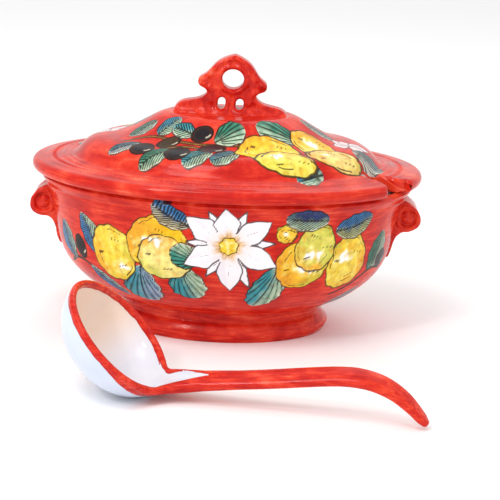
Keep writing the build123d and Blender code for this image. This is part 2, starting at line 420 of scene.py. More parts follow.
def flower(canvas, centre, tips, small_tips, core):
    """Open flower: small petals behind, big petals, a fringe of stamens and a yellow heart."""
    for width, row in ((10, small_tips), (22, tips)):
        for tip in row:
            petal(canvas, centre, tip, width)
    x, y = canvas.local(centre)
    rho, theta = np.hypot(x, y), np.arctan2(y, x)
    rays = 0.5 + 0.5 * np.cos(theta * 23 + 1.5 * np.sin(theta * 5))
    reach = core * (1.75 + 0.25 * np.sin(theta * 9) + 0.2 * np.sin(theta * 4 + 1))
    stamens = blend(rays, (0.62, 0.26, 0.04), (0.86, 0.62, 0.22))
    canvas.paint = blend(0.95 * smooth(rho, reach, core * 0.9), canvas.paint, stamens)
    canvas.ink = np.where(rho < reach, FAR, canvas.ink)
    blobs = smooth(wander(np.stack([x, y], -1), 2.4), 0.0, 0.8)
    heart = blend(blobs, (0.88, 0.62, 0.04), (0.93, 0.83, 0.30))
    canvas.lay(core - rho + 0.6 * np.sin(theta * 7) - 0.7, heart)


def stem(canvas, points, width, colour):
    """Thin painted stalk along a smooth curve."""
    best = np.full(len(canvas.across), 1e9)
    for spot in spline(points, 1.5):
        best = np.minimum(best, np.hypot(*canvas.local(spot)))
    canvas.lay(width / 2 - best, np.tile(colour, (len(best), 1)))


# ---- materials ----
def add_node(tree, kind, **settings):
    """Adds a node and sets its properties."""
    node = tree.nodes.new(kind)
    for key, value in settings.items():
        setattr(node, key, value)
    return node


def feed(tree, socket, value):
    """Links an output to a socket, or sets the socket to a number or an (r, g, b)."""
    if isinstance(value, tuple):
        socket.default_value = (*value, 1)
    elif isinstance(value, (int, float)):
        socket.default_value = value
    else:
        tree.links.new(value, socket)


def attribute(tree, name, kind="Fac"):
    """Reads one of the per-vertex layers."""
    return add_node(tree, "ShaderNodeAttribute", attribute_name=name).outputs[kind]


def object_vector(tree):
    return add_node(tree, "ShaderNodeTexCoord").outputs["Object"]


def noise(tree, vector, scale, detail=3.0, roughness=0.5, distortion=0.0):
    """Noise value of about 0.3 to 0.7."""
    node = add_node(tree, "ShaderNodeTexNoise")
    settings = {"Scale": scale, "Detail": detail, "Roughness": roughness, "Distortion": distortion}
    for socket, value in (*settings.items(), ("Vector", vector)):
        feed(tree, node.inputs[socket], value)
    return node.outputs["Fac"]


def math_node(tree, operation, *values):
    """One math node; each value is a socket or a number."""
    node = add_node(tree, "ShaderNodeMath", operation=operation)
    for socket, value in zip(node.inputs, values):
        feed(tree, socket, value)
    return node.outputs[0]


def plus(tree, first, second):
    return math_node(tree, "ADD", first, second)


def times(tree, first, second):
    return math_node(tree, "MULTIPLY", first, second)


def tremble(tree, vector, scale, detail, amount):
    """Noise about zero that makes a painted edge look drawn by hand."""
    return times(tree, math_node(tree, "SUBTRACT", noise(tree, vector, scale, detail), 0.5), amount)


def remap(tree, value, low, high, to_low=0.0, to_high=1.0):
    """Clamped smooth remap of a number."""
    node = add_node(tree, "ShaderNodeMapRange", interpolation_type="SMOOTHSTEP")
    for socket, number in zip(node.inputs, (value, low, high, to_low, to_high)):
        feed(tree, socket, number)
    return node.outputs[0]


def mix(tree, factor, first, second, mode="MIX"):
    """Mixes two colours; each is a socket or an (r, g, b)."""
    node = add_node(tree, "ShaderNodeMix", data_type="RGBA", blend_type=mode)
    for socket, value in ((node.inputs["Factor"], factor), (node.inputs[6], first), (node.inputs[7], second)):
        feed(tree, socket, value)
    return node.outputs[2]


def ramp(tree, value, stops):
    """Colour ramp through (position, colour) stops."""
    node = add_node(tree, "ShaderNodeValToRGB")
    elements = node.color_ramp.elements
    for _ in stops[2:]:
        elements.new(0.5)
    for element, (position, colour) in zip(elements, stops):
        element.position, element.color = position, (*colour, 1)
    feed(tree, node.inputs["Fac"], value)
    return node.outputs["Color"]


RED_DEEP, RED_MID = (0.40, 0.006, 0.004), (0.57, 0.014, 0.007)
RED_BRIGHT, RED_THIN = (0.74, 0.045, 0.018), (0.84, 0.17, 0.09)
LINING_SHADE, LINING_LIGHT = (0.80, 0.77, 0.72), (0.88, 0.86, 0.83)
# the ladle's outside white is painted shade: darker and bluer than its inside
LADLE_OUTSIDE_SHADED, LADLE_INSIDE, LADLE_WARM = (0.62, 0.68, 0.81), (0.84, 0.79, 0.80), (0.90, 0.69, 0.54)
GLAZE = {"IOR": 1.52, "Specular IOR Level": 0.12, "Coat Weight": 0.15, "Coat Roughness": 0.05}


def red_ground(tree, fine):
    """Brushed red glaze: overlapping strokes along the grain, darker pools and thin pale streaks."""
    strokes = noise(tree, attribute(tree, "grain", "Vector"), 1.0, 5.0, 0.60, 0.6)
    pools = noise(tree, fine, 34.0, 4.0, 0.55, 0.3)
    flow = plus(tree, times(tree, strokes, 0.5), times(tree, pools, 0.5))
    colour = ramp(tree, flow, ((0.36, RED_DEEP), (0.47, RED_MID), (0.57, RED_BRIGHT), (0.72, RED_THIN)))
    return colour, strokes


def new_material(name, settings):
    """Material with some of its shader's sockets set, and that shader."""
    material = bpy.data.materials.new(name)
    material.use_nodes = True
    shader = material.node_tree.nodes["Principled BSDF"]
    for socket, value in settings.items():
        shader.inputs[socket].default_value = value
    return material, shader


def glaze_material(name, build):
    """Glossy fired glaze; build returns the colour, roughness and height sockets."""
    material, shader = new_material(name, GLAZE)
    tree = material.node_tree
    bump = add_node(tree, "ShaderNodeBump")
    bump.inputs["Strength"].default_value = 0.35
    bump.inputs["Distance"].default_value = 0.0006  # metres
    colour, roughness, height = build(tree)
    for value, socket in (
        (colour, shader.inputs["Base Color"]),
        (roughness, shader.inputs["Roughness"]),
        (height, bump.inputs["Height"]),
        (bump.outputs["Normal"], shader.inputs["Normal"]),
        (bump.outputs["Normal"], shader.inputs["Coat Normal"]),
    ):
        tree.links.new(value, socket)
    return material


def red_build(tree):
    """Plain red glaze of the foot, handles and knob."""
    here = object_vector(tree)
    colour, strokes = red_ground(tree, here)
    height = plus(tree, times(tree, strokes, 0.8), times(tree, noise(tree, here, 260.0, 2.0), 0.35))
    return colour, remap(tree, strokes, 0.3, 0.7, 0.16, 0.30), height


def painted_build(tree):
    """Red ground with the painted garland, its dark contours and veins, and white glaze on the lining."""
    here = object_vector(tree)
    ground, strokes = red_ground(tree, here)
    cover = plus(tree, attribute(tree, "cover"), tremble(tree, here, 420.0, 2.0, 1.0))
    painted = remap(tree, cover, -0.15, 0.20)
    paint = attribute(tree, "paint", "Color")
    # light and dark dabs of the brush, on every colour but the white petals
    dabs = noise(tree, here, 180.0, 4.0, 0.55, 0.3)
    channels = add_node(tree, "ShaderNodeSeparateColor")
    feed(tree, channels.inputs[0], paint)
    tinted = remap(tree, channels.outputs["Blue"], 0.75, 0.45)
    light_dab = times(tree, remap(tree, dabs, 0.50, 0.68), tinted)
    dark_dab = times(tree, remap(tree, dabs, 0.48, 0.30), tinted)
    lively = mix(tree, light_dab, paint, (1.22, 1.20, 1.25), "MULTIPLY")
    lively = mix(tree, dark_dab, lively, (0.78, 0.70, 0.66), "MULTIPLY")
    colour = mix(tree, painted, ground, lively)
    ink = remap(tree, plus(tree, attribute(tree, "ink"), tremble(tree, here, 150.0, 3.0, 0.5)), 0.78, 0.40)
    dark_line = mix(tree, 1.0, mix(tree, 0.5, paint, (0.12, 0.02, 0.01)), (0.12, 0.09, 0.10), "MULTIPLY")
    colour = mix(tree, times(tree, ink, 0.92), colour, dark_line)
    lining = mix(tree, noise(tree, here, 60.0, 3.0), LINING_SHADE, LINING_LIGHT)
    colour = mix(tree, remap(tree, attribute(tree, "lined"), 0.4, 0.6), colour, lining)
    height = plus(tree, times(tree, strokes, 0.7), times(tree, noise(tree, here, 240.0, 2.0), 0.30))
    height = plus(tree, height, times(tree, painted, 0.25))
    return colour, remap(tree, strokes, 0.3, 0.7, 0.16, 0.28), height


def ladle_build(tree):
    """White glaze with a brushed red band and handle where band is set."""
    here = object_vector(tree)
    red, strokes = red_ground(tree, here)
    band = plus(tree, attribute(tree, "band"), tremble(tree, here, 130.0, 3.0, 1.6))
    red_share = remap(tree, band, -0.2, 0.2)
    warm = attribute(tree, "warm")
    # painted shade: outside the cup the white glaze is darker and bluer than inside
    white = mix(tree, warm, LADLE_OUTSIDE_SHADED, LADLE_INSIDE)
    white = mix(tree, remap(tree, warm, 0.4, 1.0), white, LADLE_WARM)
    mottle = remap(tree, noise(tree, here, 35.0, 3.0), 0.4, 0.7, 0.0, 0.15)
    colour = mix(tree, red_share, mix(tree, mottle, white, (0.93, 0.91, 0.90)), red)
    edge = math_node(tree, "ABSOLUTE", math_node(tree, "SUBTRACT", band, 0.25))
    colour = mix(tree, remap(tree, edge, 0.55, 0.20, 0.0, 0.65), colour, (0.42, 0.012, 0.02))
    height = times(tree, times(tree, strokes, red_share), 0.8)
    return colour, remap(tree, strokes, 0.3, 0.7, 0.14, 0.22), height


def white_build(tree):
    """White glaze of the locating rim."""
    here = object_vector(tree)
    tone = noise(tree, here, 60.0, 3.0)
    colour = mix(tree, tone, (0.78, 0.75, 0.70), LINING_LIGHT)
    return colour, remap(tree, tone, 0.3, 0.7, 0.16, 0.26), noise(tree, here, 240.0, 2.0)


painted_glaze = glaze_material("painted_glaze", painted_build)
red_glaze = glaze_material("red_glaze", red_build)
ladle_glaze = glaze_material("ladle_glaze", ladle_build)
white_glaze = glaze_material("white_glaze", white_build)


def dress(piece, material, body, slot, *nodes):
    """Gives a piece its material and body, and hides the CAD nodes that it stands for. slot is not used."""
    piece.data.materials.clear()
    piece.data.materials.append(material)
    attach(piece, body)
    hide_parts(*nodes)


def reshape(piece, points):
    """Moves the vertices and shades the whole piece smoothly."""
    move_to(piece, points)
    finish_normals(piece, 180)


def even_mesh(piece, voxel, rounds):
    """Remakes the surface as small even faces and rounds its edges."""
    apply_modifier(piece, "REMESH", mode="VOXEL", voxel_size=voxel * MM)
    apply_modifier(piece, "SMOOTH", factor=0.5, iterations=rounds)


def oval_grain(piece, around, across):
    """Brush direction round the oval: strokes about around long and across wide."""
    p = positions(piece)
    angle, radius = oval_polar(p)
    mean = radius.mean() / around
    slide = (p[:, 2] + 0.55 * radius) / across
    store(piece, "grain", np.stack([np.cos(angle) * mean, np.sin(angle) * mean, slide], -1))


# ---- bowl ----
BOWL_WALL = 6.0
SHOULDER = BOWL_TOP - 3                             # where the rim's rounding begins
BOWL_BELLY = [
    (87, FOOT_TOP), (104, 30), (121, 40.5), (136, 55), (144.5, 70), (149.5, 90), (154.5, 110),
    (BOWL_RIM, SHOULDER),
]
BOWL_LINING = [
    (84, 30), (101, 35.5), (116.5, 45.5), (130.5, 59), (138.3, 72), (143.4, 91), (148.5, 111),
    (BOWL_RIM - BOWL_WALL, SHOULDER),
]
# Mouldings: rise, place (a height, or a radius on the lid) and half-width.
BOWL_MOULDINGS = [(1.5, 130.5, 3.2), (-0.7, 124.5, 1.6), (1.0, 24, 4.0), (-1.1, 31, 1.6)]
FOOT_MOULDINGS = [(1.0, 8.5, 4.2), (-1.5, 17, 1.7), (1.0, 24, 4.0)]
LID_MOULDINGS = [(0.55, 138.5, 1.2), (0.45, 143, 1.0), (-0.35, 147, 1.2), (0.35, 157, 1.0)]
REFERENCE = 150.0                                   # half-length of the oval that painted distances run along


def distance_round(angle):
    """Distance along the reference oval from the front centre to each angle; the back repeats the front."""
    turns = np.linspace(-pi / 2, 3 * pi / 2, 4001)
    distance = travelled(REFERENCE * np.stack([np.cos(turns), PLAN_RATIO * np.sin(turns)], -1))
    full = distance[-1]
    along = np.interp(np.where(angle < -pi / 2, angle + 2 * pi, angle), turns, distance)
    along = np.where(along > full * 0.75, along - full, along)
    return np.where(along > full * 0.25, along - full / 2, along)


def make_bowl():
    outside = spline(BOWL_BELLY, 1.0)
    rim = arc((BOWL_RIM - BOWL_WALL / 2, SHOULDER), (BOWL_WALL / 2, BOWL_TOP - SHOULDER), 0, 180, 11)
    profile = joined(outside, rim, spline(BOWL_LINING, 4.0)[::-1])

    def relief(radius, height, angle):
        is_outside = np.arange(len(profile))[:, None] < len(outside)
        hand = 0.28 * np.sin(angle * 3 + height / 21) + 0.22 * np.sin(angle * 7 - height / 13 + 1)
        hand *= smooth(height, FOOT_TOP + 1, FOOT_TOP + 14) * smooth(height, 128, 118)
        return np.where(is_outside, mouldings(height, BOWL_MOULDINGS) + hand, 0), 0 * height

    piece = turned("bowl_glazed", profile, 800, relief=relief)
    p = positions(piece)
    angle, radius = oval_polar(p)
    climb = np.interp(p[:, 2], outside[:, 1], travelled(outside))
    canvas = Canvas(distance_round(angle), climb, radius / REFERENCE)
    paint_bowl(canvas)
    lining = np.array(BOWL_LINING)
    lined = radius < np.interp(p[:, 2], lining[:, 1], lining[:, 0]) + 2.4
    lined &= (p[:, 2] > 29) & (p[:, 2] < BOWL_TOP - 6)
    canvas.store_on(piece, lined, lined)
    oval_grain(piece, 26, 4.0)
    dress(piece, painted_glaze, "tureen", "painted_glaze", "bowl")


def paint_bowl(canvas):
    """Garland round the belly: distances from the front centre and up the wall from the foot."""
    stem(canvas, [(-160, 66), (-144, 74), (-130, 70), (-117, 58)], 2.0, BROWN)
    leaf(canvas, (-148, 72), (-159, 106), 20, STEEL, TEAL, bend=0.05)
    leaf(canvas, (-117, 84), (-128, 119), 20, STEEL, SAGE, bend=-0.05)
    leaf(canvas, (-129, 70), (-101, 38), 14, BLUE, TEAL, side=-1)
    leaf(canvas, (-72, 80), (-80, 35), 35, TEAL, STEEL, side=-1, broad=0.58, blunt=0.45, fan=True)
    leaf(canvas, (-37, 84), (-25, 48), 31, TEAL, SAGE, side=-1, broad=0.56, blunt=0.45, fan=True)
    leaf(canvas, (48, 86), (35, 38), 29, TEAL, SAGE, side=-1, broad=0.54, blunt=0.5, fan=True)
    leaf(canvas, (147, 72), (154, 110), 24, FOREST, SAGE, bend=-0.05)
    leaf(canvas, (153, 54), (132, 18), 15, NAVY, TEAL)
    stem(canvas, [(113, 50), (130, 60), (148, 74), (168, 72)], 1.8, BROWN)
    olive(canvas, (-136, 86), (6.5, 10.5), 8)
    olive(canvas, (163, 82), (8.0, 9.0), 20)
    lemon(canvas, (-98, 87), (21, 26), 4, 200, (0.84, 0.62, 0.05), (0.35, -0.55), 1.3)
    lemon(canvas, (-55, 101), (27, 27), 0, 150, (0.85, 0.55, 0.02), (-0.25, 0.05), 4.0)
    lemon(canvas, (-50, 90), (23, 20), -8, 90, (0.86, 0.76, 0.25), (-0.35, 0.65), 2.1)
    leaf(canvas, (-27, 121), (-57, 139), 21, BLUE, (0.42, 0.40, 0.20), side=-1, bend=0.04, blunt=0.5)
    leaf(canvas, (-20, 89), (-44, 98), 23, (0.03, 0.24, 0.18), SAGE, blunt=0.45, fan=True)
    lemon(canvas, (52, 117), (9, 9), 150, 200, YELLOW, (0.2, 0.1), 5.2, nub=0)
    lemon(canvas, (114, 86), (20, 27), 4, 330, YELLOW, (-0.25, 0.35), 2.9)
    lemon(canvas, (69, 87), (23, 22), -8, 200, (0.86, 0.52, 0.03), (0.3, -0.1), 0.6)
    lemon(canvas, (79, 103), (18, 22), 0, 250, (0.66, 0.64, 0.10), (-0.1, -0.35), 3.4)
    leaf(canvas, (86, 128), (49, 131), 20, NAVY, SAGE, side=-1, bend=0.02, blunt=0.45)
    leaf(canvas, (95, 117), (130, 128), 23, BLUE, OLIVE_GREEN, bend=-0.06, blunt=0.5)
    petals = [(-32, 130), (1, 140), (40, 128), (46, 86), (8, 61), (-32, 86)]
    small_petals = [(-13, 137), (19, 138), (44, 108), (24, 65), (-13, 76), (-31, 107)]
    flower(canvas, (5, 105), petals, small_petals, 8.4)


# ---- foot ring ----
def make_foot():
    outside = spline([(92.2, 0.8), (94.0, 4.5), (92.8, 10), (89.4, 15.5), (87.2, 20), (87, FOOT_TOP)], 1.0)
    top = [(87, FOOT_TOP), (79, FOOT_TOP)]
    inside = spline([(79, FOOT_TOP), (80.5, 14), (84, 5), (85.2, 0.9)], 2.0)
    sole = [(85.2, 0.9), (85.6, 0.3), (86.4, 0), (91.0, 0), (91.8, 0.25), (92.2, 0.8)]
    profile = joined(outside, top, inside, sole)[:-1]

    def relief(radius, height, angle):
        dents = 0.28 * np.sin(angle * 78 + 2 * np.sin(angle * 7)) * ridge(height, 7.5, 1.6)
        dents += 0.22 * np.sin(angle * 64 + 3 * np.sin(angle * 5)) * ridge(height, 18.5, 1.5)
        hand = (0.25 * np.sin(angle * 5 + 1) + 0.2 * np.sin(angle * 11)) * smooth(height, 2, 6)
        bands = mouldings(height, FOOT_MOULDINGS) * smooth(height, 0.5, 3)
        out = bands + dents + hand * smooth(height, 23.5, 21)
        return np.where(radius > 86.5, out, 0), 0 * height

    piece = turned("foot_ring_glazed", profile, 640, ring=True, relief=relief)
    oval_grain(piece, 24, 2.6)
    dress(piece, red_glaze, "tureen", "red_glaze", "foot_ring")


# ---- lid ----
LID_CROWN, CROWN_HOLE = 54.0, 16.0                  # the flat under the knob, and where its rows begin
LID_DOME = [
    (LID_CROWN, LID_TOP), (70, 183), (86, 174), (100, 168.7), (112, 166.5), (120, 163.5), (128, 157.3),
    (135, 150.3),
]
LID_INNER = [
    (134, 138), (127, 148), (117, 157), (103, 161.5), (86, 167), (68, 177.5), (LID_CROWN - 2, LID_TOP - 6),
]
LIP_CENTRE = (165.3, 140.95)
LIP_RADII = (LID_LIP - LIP_CENTRE[0], 5.65)
NOTCH_APEX, NOTCH_BEARING = (121.0, -46.5), -30.0
NOTCH_HALF_WIDTHS, NOTCH_REACH, LOBE_RADIUS = (6.5, 13.0), 27.0, 9.0
PAINTED_RADIUS = 150.0                              # the garland and the white lining stop here


def notch_outline():
    """The ladle notch in plan: a rounded inner end, straight flanks and lobes that turn back at the mouth."""
    near, far = NOTCH_HALF_WIDTHS
    slant = atan((far - near) / NOTCH_REACH)
    end = arc((0, 0), (near, near), 90 + degrees(slant), 270 - degrees(slant), 13)
    lobe_x, lobe_y = NOTCH_REACH - LOBE_RADIUS, far + LOBE_RADIUS - 3.4
    lobe = arc((lobe_x, lobe_y), (LOBE_RADIUS, LOBE_RADIUS), -80, 0, 9)
    outer = np.array([(60, lobe[-1][1]), (60, -lobe[-1][1])])
    mirrored = lobe[::-1] * (1, -1)
    local = joined(end[::-1], lobe, outer, mirrored)
    c, s = cos(radians(NOTCH_BEARING)), sin(radians(NOTCH_BEARING))
    x = NOTCH_APEX[0] + local[:, 0] * c - local[:, 1] * s
    y = NOTCH_APEX[1] + local[:, 0] * s + local[:, 1] * c
    return np.stack([x, y], -1)


def notch_cutter(low, high):
    """Closed prism over the notch outline."""
    outline = notch_outline()
    n = len(outline)
    vertices = [(x, y, low) for x, y in outline] + [(x, y, high) for x, y in outline]
    faces = [tuple(range(n)), tuple(range(n, 2 * n))]
    faces += [(i, (i + 1) % n, n + (i + 1) % n, n + i) for i in range(n)]
    return new_object("cutter", vertices, faces)


def distance_to_curve(x, y, curve):
    """Distance from each (x, y) to a polyline."""
    best = np.full(len(x), 1e9)
    for a, b in zip(curve[:-1], curve[1:]):
        run = b - a
        share = np.clip(((x - a[0]) * run[0] + (y - a[1]) * run[1]) / (run @ run), 0, 1)
        best = np.minimum(best, np.hypot(x - a[0] - share * run[0], y - a[1] - share * run[1]))
    return best


def cut(piece, cutter):
    """Boolean difference, applied; the cutter is removed."""
    apply_modifier(piece, "BOOLEAN", operation="DIFFERENCE", solver="EXACT", object=cutter)
    bpy.data.objects.remove(cutter)


def round_over(distance, radius):
    """How far an edge rounding of that radius drops the surface at a distance from the edge."""
    inside = np.clip(radius - distance, 0, radius)
    return radius - np.sqrt(np.maximum(radius**2 - inside**2, 0))


def make_lid():
    crown = np.stack([np.linspace(CROWN_HOLE, LID_CROWN, 16), np.full(16, LID_TOP)], -1)
    dome = spline(LID_DOME, 1.1, (1, -0.2), (1, -0.5))
    brim = spline([LID_DOME[-1], (165.3, 146.6)], 1.0)
    lip = arc(LIP_CENTRE, LIP_RADII, 90, -90, 18)
    seat = [(160, LID_SEAT), (153.5, LID_SEAT), (151.5, 138), (143, 138), (134, 138)]
    inner = spline(LID_INNER, 4.0, (-0.6, 1), (-1, 0.2))
    under = np.stack([np.linspace(LID_CROWN - 2, CROWN_HOLE, 8), np.full(8, LID_TOP - 6)], -1)
    profile = joined(crown, dome, brim, lip, seat, inner, under)
    top_rows = len(crown) + len(dome) + len(brim) - 2

    def relief(radius, height, angle):
        beads = 0.85 * (0.5 + 0.5 * np.cos(angle * 190)) * ridge(radius, 152, 1.6)
        hand = 0.30 * np.sin(angle * 4 + radius / 17) + 0.2 * np.sin(angle * 9 - radius / 11 + 2)
        hand *= smooth(radius, 58, 75) * smooth(radius, 165, 150)
        is_top = np.arange(len(profile))[:, None] < top_rows
        return 0 * radius, np.where(is_top, mouldings(radius, LID_MOULDINGS) + beads + hand, 0)

    piece = turned("lid_glazed", profile, 960, relief=relief)
    cut(piece, notch_cutter(LID_SEAT - 5, LID_TOP - 25))
    finish_normals(piece)
    p = positions(piece)
    radius = oval_polar(p)[1]
    middle = np.array([(r, z + 3) for r, z in LID_INNER[::-1]] + [(LID_LIP, LIP_CENTRE[1])])
    top = p[:, 2] > np.interp(radius, middle[:, 0], middle[:, 1])
    outline = notch_outline()
    near = distance_to_curve(p[:, 0], p[:, 1], np.concatenate([outline, outline[:1]]))
    p[:, 2] += np.where(top, -round_over(near, 3.0), round_over(near, 1.8))
    move_to(piece, p)
    finish_normals(piece)
    front = np.where(p[:, 1] > 0, -1.0, 1.0)        # the back repeats the front, turned half round
    canvas = Canvas(p[:, 0] * front, p[:, 1] * front, np.ones(len(p)))
    paint_lid(canvas)
    canvas.store_on(piece, ~top | (radius > PAINTED_RADIUS), ~top & (radius < PAINTED_RADIUS))
    oval_grain(piece, 30, 3.0)
    dress(piece, painted_glaze, "lid", "painted_glaze", "lid_shell")


def paint_lid(canvas):
    """Garland on the lid's front slope, in plan."""
    stem(canvas, [(-90, -40), (-66, -42), (-50, -52), (-22, -63), (13, -63)], 2.2, OCHRE)
    stem(canvas, [(-56, -63), (-35, -64), (-14, -72)], 2.2, OCHRE)
    leaf(canvas, (-62, -21), (-85, -30), 18, FOREST, (0.28, 0.40, 0.34), side=-1, blunt=0.5)
    leaf(canvas, (-60, -42), (-41, -30), 19, (0.03, 0.20, 0.30), SAGE, blunt=0.5)
    leaf(canvas, (-29, -53), (-47, -40), 15, TEAL, SAGE, side=-1, blunt=0.5)
    leaf(canvas, (-73, -51), (-101, -54), 15, (0.05, 0.14, 0.18), (0.38, 0.42, 0.42), side=-1, blunt=0.5)
    leaf(canvas, (-46, -67), (-73, -80), 18, FOREST, SAGE, side=-1, blunt=0.5)
    leaf(canvas, (-13, -73), (-37, -87), 19, TEAL, SAGE, side=-1, blunt=0.45)
    leaf(canvas, (9, -73), (-13, -88), 18, (0.04, 0.19, 0.26), SAGE, side=-1, blunt=0.45)
    leaf(canvas, (-11, -61), (13, -47), 22, FOREST, SAGE, broad=0.60, blunt=0.42, fan=True)
    leaf(canvas, (61, -45), (23, -42), 21, FOREST, SAGE, side=-1, broad=0.58, blunt=0.42, fan=True)
    leaf(canvas, (92, -9), (61, -8), 14, GREY, (0.38, 0.42, 0.36), side=-1, blunt=0.5)
    leaf(canvas, (81, -75), (60, -89), 20, DUSK, SAGE, side=-1, broad=0.62, blunt=0.42, fan=True)
    for tip in ((91, -24), (89, -10), (98, -2), (114, -2), (123, -12), (118, -26)):
        petal(canvas, (105, -13), tip, 13, (0.86, 0.68, 0.68))
    leaf(canvas, (107, -27), (134, -34), 24, GREY, (0.42, 0.40, 0.36), broad=0.6, blunt=0.42, fan=True)
    olive(canvas, (-22, -53), (9.2, 7.3), 10)
    olive(canvas, (-50, -56), (9.9, 5.9), 4, (0.05, 0.03, 0.015))
    olive(canvas, (-72, -60), (10.2, 9.4), -10)
    olive(canvas, (-42, -73), (10.8, 9.5), 4)
    olive(canvas, (-13, -68), (10.9, 4.8), 4, (0.05, 0.010, 0.012))
    lemon(canvas, (73, -41.5), (20.0, 15.5), -8, 130, (0.86, 0.48, 0.03), (-0.2, 0.1), 3.9)
    lemon(canvas, (91, -52.5), (25.5, 12.0), 19, 200, (0.80, 0.58, 0.18), (-0.5, 0.3), 5.0)
    lemon(canvas, (35, -65), (25.5, 15.6), 8, 110, (0.88, 0.55, 0.03), (-1.2, -2.0), 1.1, nub=190)
    lemon(canvas, (49, -76), (26.0, 12.0), 8, 60, (0.78, 0.66, 0.08), (-0.6, 0.35), 2.6)


def make_locating_rim():
    """Luted rim under the lid: a rounded band round the oval that stops at both sides of the notch."""
    low, high = box_mm("lid_locating_rim")
    outer, width, fillet = high.x, 9.5, 2.0
    section = joined(
        arc((outer - fillet, low.z + fillet), (fillet, fillet), 0, -90, 6),
        arc((outer - width + fillet, low.z + fillet), (fillet, fillet), -90, -180, 6),
        [(outer - width, high.z), (outer, high.z)],
    )
    piece = turned("locating_rim_glazed", section, 480, ring=True)
    cut(piece, notch_cutter(low.z - 5, high.z + 5))
    finish_normals(piece)
    dress(piece, white_glaze, "lid", "white_glaze", "lid_locating_rim")


# ---- knob and handles: the CAD solids, softened like hand-pressed clay and carved ----
def softened(name, node, rounds, prepare):
    """Copy of a CAD node with its points prepared, an even mesh and hand-rounded edges."""
    piece = add_object(name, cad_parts[node].data.copy())
    move_to(piece, prepare(positions(piece)))
    even_mesh(piece, 0.8, rounds)
    finish_normals(piece, 180)
    return piece


# Places on the knob: distance from its middle and height above the crown.
KNOB_HOLE, KNOB_HOLE_HEIGHT = (9.4, 8.6), 30.0
WINDOW_OFFSET, WINDOW_HEIGHT, WINDOW_SIZE = 7.9, 8.6, (10.0, 6.6)
KNOB_EAR, KNOB_BOSS_HEIGHT = (24.8, 26), 17.5
KNOB_OUTLINE = [
    (49.5, 0), (45, 6), (35, 9), (25.5, 12), (21.5, 17), (24.5, 20), (28.5, 21.8),
    (30, 27), (25, 31.5), (20.8, 36), (15.5, 42.8), (7, 48.4), (0, 51),
]
KNOB_LEAN = radians(3.4)                            # leans a little, as set by hand
SINK = 2.5                                          # how far the knob's base goes into the crown


def make_knob():
    """Pierced knob: ribs round the hole and along the outline, curled ears and feet that spread out."""
    def sink(p):
        return p - np.outer(np.where(p[:, 2] < LID_TOP + 0.1, SINK, 0), (0, 0, 1))

    piece = softened("knob_glazed", "lid_knob", 14, sink)
    p, n = positions(piece), vertex_values(piece, "normal")
    x, up = p[:, 0], p[:, 2] - LID_TOP
    side = np.abs(x)
    rim = distance_to_curve(side, up, spline(KNOB_OUTLINE, 1.5))
    hole = (np.hypot(x / KNOB_HOLE[0], (up - KNOB_HOLE_HEIGHT) / KNOB_HOLE[1]) - 1) * np.mean(KNOB_HOLE)
    ear = np.hypot(side - KNOB_EAR[0], up - KNOB_EAR[1])
    tall, wide = WINDOW_SIZE
    above_straight = np.maximum(np.abs(up - WINDOW_HEIGHT) - (tall - wide) / 2, 0)
    window = np.hypot(side - WINDOW_OFFSET, above_straight) - wide / 2
    lift = mouldings(hole, [(1.5, 2.6, 1.8)]) + 0.9 * ridge(rim, 2.6, 1.6) * smooth(up, 14, 20)
    lift += mouldings(ear, [(1.5, 0, 2.4), (-0.9, 4.2, 1.2)])
    lift += 1.0 * ridge(np.hypot(x, up - KNOB_BOSS_HEIGHT), 0, 4.0) + 0.8 * ridge(window, 1.9, 1.4)
    lift += 0.9 * ridge(side, 17.5 + 0.2 * (up - 15), 1.6) * smooth(up, 27, 21) * smooth(up, 6, 10)
    lift -= 0.9 * smooth(up, 35, 39) * ridge(x, 0, 3.0)
    lift += 0.45 * wander(p, 6.0)
    spread = 5.0 * smooth(up, 8, -1.5) ** 2
    p[:, 1] += np.sign(p[:, 1]) * (np.abs(n[:, 1]) ** 1.5 * lift + spread * smooth(np.abs(p[:, 1]), 1, 5))
    lean, pivot = KNOB_LEAN * smooth(up, 0, 12), up - 2
    p[:, 0], p[:, 2] = p[:, 0] + pivot * np.sin(lean), p[:, 2] - x * np.sin(lean)
    reshape(piece, p)
    store(piece, "grain", np.stack([x / 6, p[:, 1] / 6, up / 9], -1))
    dress(piece, red_glaze, "lid", "red_glaze", "lid_knob")


SCROLL = (159.5, 106.5)                             # centre of the scroll's curl, in X and Z
CURL_MOULDINGS = [(1.4, 9.6, 1.8), (-1.5, 6.4, 1.5), (1.5, 0, 3.6)]     # rise, distance out, half-width


def bowl_gap(p):
    """How far in plan each point stands outside the belly, along the oval's half-length."""
    wall = spline(BOWL_BELLY, 1.0)
    return oval_polar(p)[1] - np.interp(p[:, 2], wall[:, 1], wall[:, 0])


